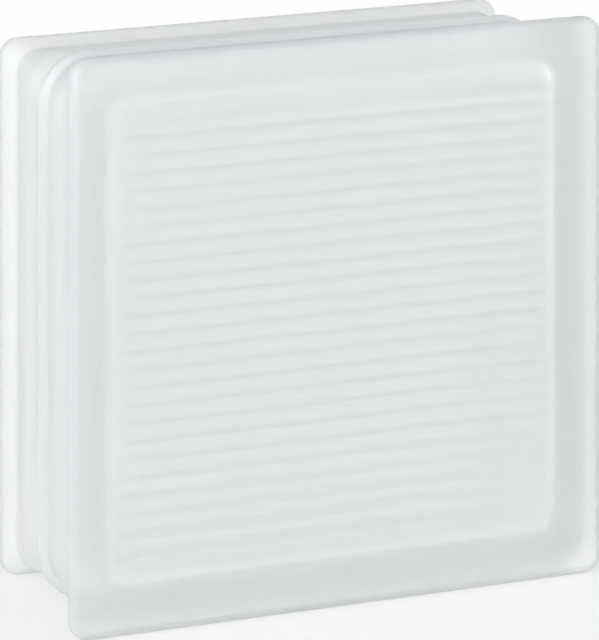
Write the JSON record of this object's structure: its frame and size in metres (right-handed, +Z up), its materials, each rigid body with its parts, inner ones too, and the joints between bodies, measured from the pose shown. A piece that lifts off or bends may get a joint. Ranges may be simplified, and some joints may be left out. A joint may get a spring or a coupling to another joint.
{
  "type": "hollow glass block",
  "caption": "Square hollow glass block with satin-etched faces, horizontal reeds inside, and a recessed mortar channel with a fused seam round its edge.",
  "frame": {"origin": "on the floor under the middle of the block, at the level of the lower rims", "axes": "+Z up, +Y from the front face through the block's depth to the back face, +X to the right seen from the front"},
  "size_m": [0.19, 0.08, 0.19],
  "materials": {
    "satin_glass": "satin"
  },
  "bodies": {
    "root": {"front_shell": "satin_glass", "rear_shell": "satin_glass"}
  },
  "joints": []
}
